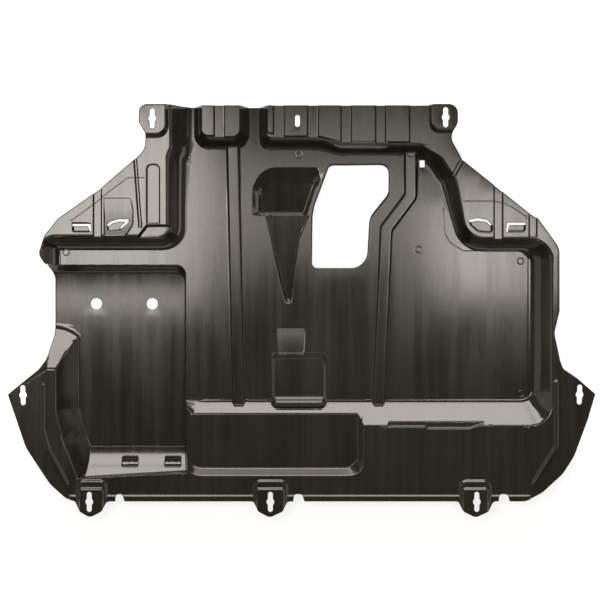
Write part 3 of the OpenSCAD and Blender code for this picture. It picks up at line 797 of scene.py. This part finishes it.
@dataclass
class Holes:
    """Every hole that goes through the sheet, as a ring in plan."""

    slot: float = 8.5
    length: float = 34.0
    round_part: float = 13.0
    round_hole: float = 20.0
    keyholes: tuple[tuple[float, float, float], ...] = (
        (-253, 324, 0), (246, 326, 0), (-360, -328, 0), (-52, -328, 0), (299, -328, 0),
        (-474, -147, 2), (475, -146, -2),
    )
    round_holes: tuple[tuple[float, float], ...] = ((-355, 9), (-258, 9))

    def keyhole(self, x: float, y: float, turn: float) -> np.ndarray:
        """Return one keyhole: a slot with a round part across its middle."""
        r, big = self.slot / 2, self.round_part / 2
        half = self.length / 2 - r
        waist = math.sqrt(big * big - r * r)
        points = []
        for end in (0, 1):
            flip = -1 if end else 1
            lean = math.atan2(waist, r)
            for i in range(9):
                a = -lean + 2 * lean * i / 8
                points.append((flip * big * math.cos(a), flip * big * math.sin(a)))
            for i in range(13):
                a = math.pi * i / 12
                points.append((flip * r * math.cos(a), flip * (half + r * math.sin(a))))
        c, s = math.cos(math.radians(turn)), math.sin(math.radians(turn))
        return np.array([(x + px * c - py * s, y + px * s + py * c) for px, py in points])

    def slot_ring(self, x: float, y: float, width: float, length: float) -> np.ndarray:
        """Return an oval hole, long in Y."""
        r = width / 2
        ring = box_ring(x - r, x + r, y - length / 2, y + length / 2, r - 0.01)
        return rounded(ring, [8] * 4)

    def round_ring(self, x: float, y: float, diameter: float) -> np.ndarray:
        """Return a round hole."""
        steps = 40
        turn = [2 * math.pi * i / steps for i in range(steps)]
        return np.array([(x + diameter / 2 * math.cos(a), y + diameter / 2 * math.sin(a)) for a in turn])

    def access(self) -> Ring:
        """Return the large opening beside the duct."""
        return [
            (49, 247, 10), (23, 177, 20), (20, 159, 30), (19, 71, 8),
            (113, 71, 28), (118, 158, 34), (151, 199, 22), (151, 248, 14),
        ]

    def rings(self, gaps: list[Ring]) -> list[np.ndarray]:
        """Return all holes.

        Args:
            gaps: The louvre cuts.

        Returns:
            One closed line of points for each hole.
        """
        out = [self.keyhole(*place) for place in self.keyholes]
        out += [self.round_ring(x, y, self.round_hole) for x, y in self.round_holes]
        out.append(self.slot_ring(-6, 320, 8, 20))
        out.append(rounded(box_ring(209 - 4.25, 209 + 4.25, 250 - 6, 250 + 6, 1.0), [3] * 4))
        for ring in [self.access()] + gaps:
            out.append(rounded(ring, arc_steps([ring])))
        return out


@dataclass
class Marks:
    """Small moulding marks: ejector rings and hair lines, a few tenths deep."""

    ring_places: tuple[tuple[float, float], ...] = (
        (-405, 97), (-195, 263), (-4, 266), (379, 82), (202, 102), (190, 267),
        (379, -145), (-356, -272),
    )
    ring_radius: float = 5.4
    ring_width: float = 1.2
    ring_depth: float = 0.16
    lines: tuple[Ring, ...] = (
        [(-267, 224, 0), (-295, 224, 8), (-335, 194, 20), (-357, 176, 20), (-391, 151, 8)],
        [(277, 184, 0), (329, 184, 0), (345, 181, 8), (361, 173, 8), (383, 158, 4)],
        [(246, 172, 0), (249, 129, 6), (257, 114, 8), (280, 100, 10), (374, 100, 0)],
    )
    line_width: float = 0.8
    line_depth: float = 0.11

    def line_rings(self) -> list[np.ndarray]:
        """Return the closed rings of the hair lines."""
        rings = [band(line, self.line_width) for line in self.lines]
        return [rounded(ring, arc_steps([ring])) for ring in rings]

    def apply(self, height: np.ndarray, p: np.ndarray) -> np.ndarray:
        """Press the marks into a surface."""
        height = height.copy()
        for x, y in self.ring_places:
            away = np.hypot(p[:, 0] - x, p[:, 1] - y)
            height -= self.ring_depth * np.exp(-(((away - self.ring_radius) / (0.6 * self.ring_width)) ** 2))
        for ring in self.line_rings():
            low, high = ring.min(axis=0) - 4, ring.max(axis=0) + 4
            near = np.all((p > low) & (p < high), axis=1)
            if near.any():
                away = signed_distance(p[near], ring)
                share = np.clip(0.6 - away / self.line_width, 0, 1)
                height[near] -= self.line_depth * share * share * (3 - 2 * share)
        return height

    def guide_lines(self) -> list[np.ndarray]:
        """Return the lines that the plan follows round each mark."""
        lines = []
        for x, y in self.ring_places:
            for r in (-2.0, -1.1, -0.55, 0.0, 0.55, 1.1, 2.0):
                radius = self.ring_radius + r * self.ring_width
                turn = [2 * math.pi * i / 20 for i in range(20)]
                lines.append(np.array([(x + radius * math.cos(a), y + radius * math.sin(a)) for a in turn]))
        for line in self.lines:
            for width in (0.3, 1.0, 1.7, 2.6):
                ring = band(line, width * self.line_width)
                lines.append(rounded(ring, arc_steps([ring])))
        return lines


@dataclass
class Relief:
    """The sheet's form: every fold in the order in which the part's source makes it."""

    pans: Pans = field(default_factory=Pans)
    strip: RearStrip = field(default_factory=RearStrip)
    pads: FixingPads = field(default_factory=FixingPads)
    floor: FloorForms = field(default_factory=FloorForms)
    ears: EarForms = field(default_factory=EarForms)
    marks: Marks = field(default_factory=Marks)

    def folds(self) -> list[Fold]:
        """Return every fold, first to last."""
        return (
            self.pans.folds() + self.strip.folds() + [self.pans.hem()] + self.pads.folds() + self.floor.raised()
            + self.ears.beads() + self.floor.sunk() + self.ears.sunk()
        )

    def height(self, points: np.ndarray, drop: float, folds: list[Fold]) -> np.ndarray:
        """Return the face's height at places in plan.

        Args:
            points: Places in plan.
            drop: 0 for the upper face, the thickness for the lower one.
            folds: The folds, first to last.

        Returns:
            Heights in millimetres.
        """
        height = np.full(len(points), LEVELS.flange - drop)
        for fold in folds:
            height = fold.apply(height, points, drop)
        return height if drop else self.marks.apply(height, points)


@dataclass
class Sheet:
    """The moulded sheet: plan, relief, thickness and edge, as one closed mesh."""

    relief: Relief = field(default_factory=Relief)
    holes: Holes = field(default_factory=Holes)
    # Width and fall of the rounded edge: round the outline, round the access opening, round other holes.
    outline_edge: tuple[float, float] = (1.7, 1.1)
    access_edge: tuple[float, float] = (3.4, 2.8)
    hole_edge: tuple[float, float] = (1.0, 0.6)
    refine_passes: int = 2
    refine_turn: float = 0.25
    refine_length: float = 1.3

    def borders(self) -> list[np.ndarray]:
        """Return the outline and every hole."""
        ring = shield_outline()
        outline = rounded(ring, [0 if s == 0 else s + 2 for s in arc_steps([ring], 5.0)])
        return [outline] + self.holes.rings(self.relief.ears.gaps())

    def edges(self, borders: list[np.ndarray]) -> list[tuple[float, float]]:
        """Return the width and fall of the rounded edge along each border."""
        sizes = []
        for i, border in enumerate(borders):
            span = border.max(axis=0) - border.min(axis=0)
            sizes.append(self.outline_edge if i == 0 else self.access_edge if span.min() > 60 else self.hole_edge)
        return sizes

    def inset(self, line: np.ndarray, distance: float) -> np.ndarray:
        """Return a closed line moved to its left by a distance."""
        ahead = np.roll(line, -1, axis=0) - line
        ahead /= np.maximum(np.hypot(*ahead.T), 1e-9)[:, None]
        normal = np.stack([-ahead[:, 1], ahead[:, 0]], axis=1)
        both = normal + np.roll(normal, 1, axis=0)
        both /= np.maximum(1 + (normal * np.roll(normal, 1, axis=0)).sum(axis=1), 0.35)[:, None]
        return line + both * distance

    def plan(self) -> tuple[np.ndarray, np.ndarray, list[np.ndarray]]:
        """Cut the plan into triangles along the folds.

        Returns:
            Points, triangles and the border lines.
        """
        borders = self.borders()
        limit = np.array([515.0, 365.0])
        lines = list(borders)
        for i, (border, (width, _fall)) in enumerate(zip(borders, self.edges(borders))):
            turn = np.sum(border[:, 0] * np.roll(border[:, 1], -1) - np.roll(border[:, 0], -1) * border[:, 1])
            inward = 1 if (turn > 0) == (i == 0) else -1
            for share in (0.3, 0.65, 1.0):
                lines.append(self.inset(border, inward * share * width))
        for fold in self.relief.folds():
            lines += fold.guide_lines()
        lines += self.relief.marks.guide_lines()
        for x in np.arange(-480, 481, 30.0):
            lines.append(np.array([(x, -360.0), (x, 360.0)]))
        for y in np.arange(-345, 346, 30.0):
            lines.append(np.array([(-510.0, y), (510.0, y)]))
        lines += self.relief.pans.slope_lines()
        points: list[Vector] = []
        edges: list[tuple[int, int]] = []
        for line in lines:
            line = np.clip(line, -limit, limit)
            first = len(points)
            points += [Vector((float(x), float(y))) for x, y in line]
            n = len(line)
            edges += [(first + i, first + i + 1) for i in range(n - 1)]
            if n > 2:
                edges.append((first + n - 1, first))
        folds = self.relief.folds()
        for left in range(self.refine_passes, -1, -1):
            verts, _edges, faces, *_rest = delaunay_2d_cdt(points, edges, [], 0, 0.02)
            flat_points, triangles = np.array([(v.x, v.y) for v in verts]), np.array(faces)
            if left:
                points += [Vector(middle) for middle in self.bends(flat_points, triangles, folds)]
        return flat_points, triangles, borders

    def bends(self, points: np.ndarray, triangles: np.ndarray, folds: list[Fold]) -> list[tuple[float, float]]:
        """Find where the plan is too coarse for the relief.

        Args:
            points: The plan's points.
            triangles: The plan's triangles.
            folds: The folds, first to last.

        Returns:
            Middles of the edges along which the surface turns too much.
        """
        height = self.relief.height(points, 0.0, folds)
        normal = self.slopes(points, height, lambda p: self.relief.height(p, 0.0, folds))
        pairs = np.sort(np.concatenate([triangles[:, [0, 1]], triangles[:, [1, 2]], triangles[:, [2, 0]]]), axis=1)
        pairs = np.unique(pairs, axis=0)
        a, b = pairs[:, 0], pairs[:, 1]
        length = np.hypot(*(points[a] - points[b]).T)
        turn = np.sqrt(((normal[a] - normal[b]) ** 2).sum(axis=1))
        coarse = (turn > self.refine_turn) & (length > self.refine_length)
        return [tuple(m) for m in ((points[a] + points[b]) / 2)[coarse].tolist()]

    def slopes(self, points: np.ndarray, height: np.ndarray, surface: Surface) -> np.ndarray:
        """Return the upward normals of a surface at its points."""
        step = 0.08
        dx = surface(points + [step, 0]) - height
        dy = surface(points + [0, step]) - height
        n = np.stack([-dx / step, -dy / step, np.ones(len(points))], axis=1)
        return n / np.sqrt((n * n).sum(axis=1))[:, None]

    def kept(self, points: np.ndarray, triangles: np.ndarray, borders: list[np.ndarray]) -> np.ndarray:
        """Return the triangles inside the outline and outside every hole."""
        middle = points[triangles].mean(axis=1)
        inside = signed_distance(middle, borders[0]) < 0
        for hole in borders[1:]:
            low, high = hole.min(axis=0) - 1, hole.max(axis=0) + 1
            near = inside & np.all((middle > low) & (middle < high), axis=1)
            index = np.where(near)[0]
            if len(index):
                inside[index[signed_distance(middle[index], hole) < 0]] = False
        return triangles[inside]

    def edge_fall(self, points: np.ndarray, borders: list[np.ndarray]) -> np.ndarray:
        """Return how far the upper face falls at the cut edges, so that they are not sharp."""
        fall = np.zeros(len(points))
        for line, (width, most) in zip(borders, self.edges(borders)):
            low, high = line.min(axis=0) - width, line.max(axis=0) + width
            near = np.all((points > low) & (points < high), axis=1)
            if near.any():
                share = np.clip(1 - np.abs(signed_distance(points[near], line)) / width, 0, 1)
                fall[near] = np.maximum(fall[near], most * (1 - np.sqrt(1 - share * share * 0.96)))
        return fall

    def face(self, points: np.ndarray, drop: float, borders: list[np.ndarray], folds: list[Fold]) -> np.ndarray:
        """Return the height of one face, with its edge rounding on the upper one."""
        height = self.relief.height(points, drop, folds)
        return height if drop else height - self.edge_fall(points, borders)

    def build(self) -> bpy.types.Object:
        """Make the closed sheet.

        Returns:
            The object, in metres, with its place in its mesh.
        """
        points, triangles, borders = self.plan()
        triangles = self.kept(points, triangles, borders)
        used = np.unique(triangles)
        index = np.full(len(points), -1)
        index[used] = np.arange(len(used))
        points, triangles = points[used], index[triangles]
        folds = self.relief.folds()
        LOG.info("plan: %d points, %d triangles", len(points), len(triangles))
        upper = self.face(points, 0.0, borders, folds)
        lower = self.face(points, LEVELS.thickness, borders, folds)
        lower = np.minimum(lower, upper - 0.6)
        up = self.slopes(points, upper, lambda p: self.face(p, 0.0, borders, folds))
        down = -self.slopes(points, lower, lambda p: self.face(p, LEVELS.thickness, borders, folds))
        place = points - outline_middle()
        n = len(points)
        bm = bmesh.new()
        tops = [bm.verts.new((x * METRES, y * METRES, z * METRES)) for (x, y), z in zip(place, upper)]
        bottoms = [bm.verts.new((x * METRES, y * METRES, z * METRES)) for (x, y), z in zip(place, lower)]
        for a, b, c in triangles:
            bm.faces.new((tops[a], tops[b], tops[c]))
            bm.faces.new((bottoms[c], bottoms[b], bottoms[a]))
        bm.verts.index_update()
        rim = [e for e in bm.edges if len(e.link_faces) == 1 and e.verts[0].index < n]
        for edge in rim:
            loop = edge.link_loops[0]
            a, b = loop.vert.index, loop.link_loop_next.vert.index
            bm.faces.new((tops[b], tops[a], bottoms[a], bottoms[b]))
        mesh = bpy.data.meshes.new(NODE)
        bm.to_mesh(mesh)
        bm.free()
        self.shade(mesh, n, up, down)
        obj = bpy.data.objects.new("splash_shield_sheet", mesh)
        bpy.context.scene.collection.objects.link(obj)
        return obj

    def shade(self, mesh: bpy.types.Mesh, n: int, up: np.ndarray, down: np.ndarray) -> None:
        """Give the mesh the relief's true normals, and level ones round its rim.

        Args:
            mesh: The closed mesh, its upper points first.
            n: Points on each face.
            up: Normals of the upper face.
            down: Normals of the lower face.
        """
        mesh.polygons.foreach_set("use_smooth", [True] * len(mesh.polygons))
        normals = np.zeros((len(mesh.loops), 3))
        vertex = np.zeros(len(mesh.loops), dtype=int)
        mesh.loops.foreach_get("vertex_index", vertex)
        is_top = vertex < n
        normals[is_top] = up[vertex[is_top]]
        normals[~is_top] = down[vertex[~is_top] - n]
        for polygon in mesh.polygons:
            if polygon.loop_total == 4:
                normals[polygon.loop_start:polygon.loop_start + 4] = polygon.normal
        mesh.normals_split_custom_set(normals.tolist())


@dataclass(frozen=True)
class MouldedPlastic:
    """Black polypropylene as it leaves the mould: satin, with flow streaks along the shield."""

    dark: tuple[float, float, float] = (0.0085, 0.0078, 0.0064)
    light: tuple[float, float, float] = (0.0220, 0.0200, 0.0162)
    roughness_low: float = 0.09
    roughness_high: float = 0.17

    def material(self) -> bpy.types.Material:
        """Return the procedural material."""
        mat = bpy.data.materials.new("moulded_black_plastic")
        mat.use_nodes = True
        tree = mat.node_tree
        tree.nodes.clear()
        out = tree.nodes.new("ShaderNodeOutputMaterial")
        shader = tree.nodes.new("ShaderNodeBsdfPrincipled")
        coordinates = tree.nodes.new("ShaderNodeTexCoord")
        tree.links.new(shader.outputs["BSDF"], out.inputs["Surface"])
        shader.inputs["IOR"].default_value = 1.5

        def noise(scale: tuple[float, float, float], detail: float) -> bpy.types.NodeSocket:
            """Return a noise pattern stretched by a scale in each direction."""
            mapping = tree.nodes.new("ShaderNodeMapping")
            mapping.inputs["Scale"].default_value = scale
            texture = tree.nodes.new("ShaderNodeTexNoise")
            texture.inputs["Scale"].default_value = 1.0
            texture.inputs["Detail"].default_value = detail
            tree.links.new(coordinates.outputs["Object"], mapping.inputs["Vector"])
            tree.links.new(mapping.outputs["Vector"], texture.inputs["Vector"])
            return texture.outputs["Fac"]

        streaks = noise((70, 3.5, 20), 3)
        clouds = noise((9, 6, 9), 3)
        grain = noise((1400, 1400, 1400), 2)
        mixed = tree.nodes.new("ShaderNodeMath")
        mixed.operation = "MULTIPLY_ADD"
        mixed.inputs[1].default_value = 0.55
        tree.links.new(streaks, mixed.inputs[0])
        weighted = tree.nodes.new("ShaderNodeMath")
        weighted.operation = "MULTIPLY"
        weighted.inputs[1].default_value = 0.45
        tree.links.new(clouds, weighted.inputs[0])
        tree.links.new(weighted.outputs[0], mixed.inputs[2])
        colour = tree.nodes.new("ShaderNodeValToRGB")
        colour.color_ramp.elements[0].position = 0.3
        colour.color_ramp.elements[0].color = (*self.dark, 1)
        colour.color_ramp.elements[1].position = 0.7
        colour.color_ramp.elements[1].color = (*self.light, 1)
        tree.links.new(mixed.outputs[0], colour.inputs["Fac"])
        tree.links.new(colour.outputs["Color"], shader.inputs["Base Color"])
        roughness = tree.nodes.new("ShaderNodeMapRange")
        roughness.inputs["From Min"].default_value = 0.3
        roughness.inputs["From Max"].default_value = 0.7
        roughness.inputs["To Min"].default_value = self.roughness_low
        roughness.inputs["To Max"].default_value = self.roughness_high
        tree.links.new(mixed.outputs[0], roughness.inputs["Value"])
        tree.links.new(roughness.outputs["Result"], shader.inputs["Roughness"])
        bump = tree.nodes.new("ShaderNodeBump")
        bump.inputs["Strength"].default_value = 0.12
        bump.inputs["Distance"].default_value = 0.0001
        tree.links.new(grain, bump.inputs["Height"])
        tree.links.new(bump.outputs["Normal"], shader.inputs["Normal"])
        return mat


@dataclass(frozen=True)
class Softbox:
    """One soft lamp: where it hangs, what it faces, its size in metres and how bright its face is."""

    name: str
    place: tuple[float, float, float]
    aim: tuple[float, float, float]
    size: tuple[float, float]
    radiance: float

    def hang(self, colour: tuple[float, float, float]) -> bpy.types.Object:
        """Hang the lamp.

        Args:
            colour: The light's colour.

        Returns:
            The lamp.
        """
        lamp = bpy.data.lights.new(self.name, "AREA")
        lamp.shape = "RECTANGLE"
        lamp.size, lamp.size_y = self.size
        lamp.energy = self.radiance * math.pi * self.size[0] * self.size[1]
        lamp.color = colour
        obj = bpy.data.objects.new(self.name, lamp)
        obj.location = self.place
        obj.rotation_euler = (Vector(self.aim) - Vector(self.place)).to_track_quat("-Z", "Y").to_euler()
        bpy.context.scene.collection.objects.link(obj)
        return obj


@dataclass
class Studio:
    """Floor, world, lamps and camera."""

    lens: float = 100.0
    floor_glow: float = 0.72
    floor_colour: tuple[float, float, float] = (0.50, 0.53, 0.58)
    light: tuple[float, float, float] = (1.0, 0.93, 0.85)
    surroundings: tuple[float, float, float] = (0.16, 0.14, 0.105)
    lamps: tuple[Softbox, ...] = (
        Softbox("ceiling_left", (-0.77, 0.40, 3.4), (-0.77, 0.40, 0), (0.80, 0.78), 12.0),
        Softbox("ceiling_right", (0.74, 0.24, 3.4), (0.74, 0.24, 0), (0.50, 0.42), 11.5),
        Softbox("ceiling_rear", (0.03, 0.43, 3.4), (0.03, 0.43, 0), (1.04, 0.50), 3.6),
        Softbox("card_rear", (0, 3.0, 0.6), (0, 0, 0), (3.0, 1.1), 9.5),
        Softbox("card_rear_high", (0, 3.0, 1.75), (0, 0, 0), (3.4, 1.0), 10.0),
        Softbox("card_front", (0, -3.0, 1.2), (0, 0, 0), (3.0, 2.0), 1.2),
        Softbox("card_right", (3.0, 0, 0.6), (0, 0, 0), (3.0, 1.1), 1.9),
        Softbox("card_left", (-3.0, 0, 1.2), (0, 0, 0), (3.0, 2.0), 0.8),
    )

    def floor(self) -> bpy.types.Object:
        """Return the pale floor under the shield."""
        bm = bmesh.new()
        bmesh.ops.create_grid(bm, x_segments=1, y_segments=1, size=16.0)
        mesh = bpy.data.meshes.new("floor")
        bm.to_mesh(mesh)
        bm.free()
        floor = bpy.data.objects.new("floor", mesh)
        bpy.context.scene.collection.objects.link(floor)
        floor.location.z = -0.0005
        mat = bpy.data.materials.new("white_floor")
        mat.use_nodes = True
        tree = mat.node_tree
        tree.nodes.clear()
        out = tree.nodes.new("ShaderNodeOutputMaterial")
        path = tree.nodes.new("ShaderNodeLightPath")
        glow = tree.nodes.new("ShaderNodeEmission")
        glow.inputs["Strength"].default_value = self.floor_glow
        matte = tree.nodes.new("ShaderNodeBsdfDiffuse")
        matte.inputs["Color"].default_value = (*self.floor_colour, 1)
        both = tree.nodes.new("ShaderNodeAddShader")
        tree.links.new(glow.outputs["Emission"], both.inputs[0])
        tree.links.new(matte.outputs["BSDF"], both.inputs[1])
        seen = path.outputs["Is Camera Ray"]
        for ray in ("Is Glossy Ray", "Is Transmission Ray"):
            either = tree.nodes.new("ShaderNodeMath")
            either.operation = "MAXIMUM"
            tree.links.new(seen, either.inputs[0])
            tree.links.new(path.outputs[ray], either.inputs[1])
            seen = either.outputs["Value"]
        mix = tree.nodes.new("ShaderNodeMixShader")
        tree.links.new(seen, mix.inputs["Fac"])
        tree.links.new(matte.outputs["BSDF"], mix.inputs[1])
        tree.links.new(both.outputs["Shader"], mix.inputs[2])
        tree.links.new(mix.outputs["Shader"], out.inputs["Surface"])
        mesh.materials.append(mat)
        return floor

    def world(self) -> None:
        """Set the dim warm surroundings."""
        world = bpy.data.worlds.new("studio")
        world.use_nodes = True
        background = world.node_tree.nodes["Background"]
        background.inputs["Color"].default_value = (*self.surroundings, 1)
        background.inputs["Strength"].default_value = 1.0
        bpy.context.scene.world = world

    def camera(self) -> None:
        """Look straight down on the shield with a long lens."""
        data = bpy.data.cameras.new("camera")
        data.lens = self.lens
        data.sensor_width = 36.0
        data.clip_end = 50.0
        obj = bpy.data.objects.new("camera", data)
        width = 600 * 1000 / 586 * METRES
        height = width * self.lens / data.sensor_width
        obj.location = (-0.0027, 0.0176, height + 0.05)
        bpy.context.scene.collection.objects.link(obj)
        bpy.context.scene.camera = obj

    def build(self) -> None:
        """Set the whole studio."""
        self.floor()
        self.world()
        self.camera()
        for lamp in self.lamps:
            lamp.hang(self.light)
        scene = bpy.context.scene
        scene.view_settings.view_transform = "Standard"


def main() -> None:
    """Build the shield and its studio in order and report each piece."""
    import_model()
    sheet = Sheet().build()
    sheet.data.materials.append(MouldedPlastic().material())
    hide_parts(NODE)
    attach(sheet, "root")
    LOG.info("sheet: %d triangles", sum(p.loop_total - 2 for p in sheet.data.polygons))
    Studio().build()


if __name__ == "__main__":
    main()
